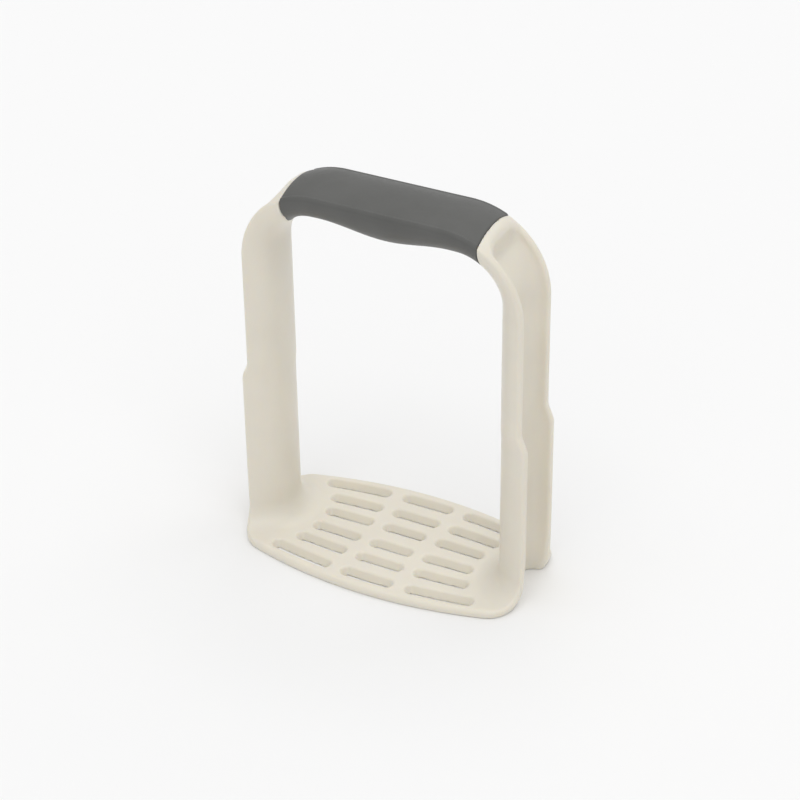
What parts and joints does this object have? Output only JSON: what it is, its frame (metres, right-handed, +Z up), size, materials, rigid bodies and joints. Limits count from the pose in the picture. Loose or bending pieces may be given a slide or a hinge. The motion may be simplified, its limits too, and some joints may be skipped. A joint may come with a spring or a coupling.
{
  "type": "potato masher",
  "caption": "One-piece loop-frame hand masher: slotted bowed base plate, two channel arms and a soft-touch top grip for pressing cooked potatoes.",
  "frame": {"origin": "middle of the base plate's underside, on the surface the masher stands on", "axes": "+Z up from the plate to the grip, X along the grip from arm to arm, Y across the grip"},
  "size_m": [0.1264, 0.0694, 0.1642],
  "materials": {
    "cream_plastic": "smooth satin-gloss moulded nylon, slightly translucent",
    "grey_soft_touch": "matt soft-touch thermoplastic elastomer"
  },
  "bodies": {
    "root": {"base_plate": "cream_plastic", "left_arm": "cream_plastic", "right_arm": "cream_plastic", "handle_bridge": "cream_plastic", "soft_grip": "grey_soft_touch"}
  },
  "joints": []
}
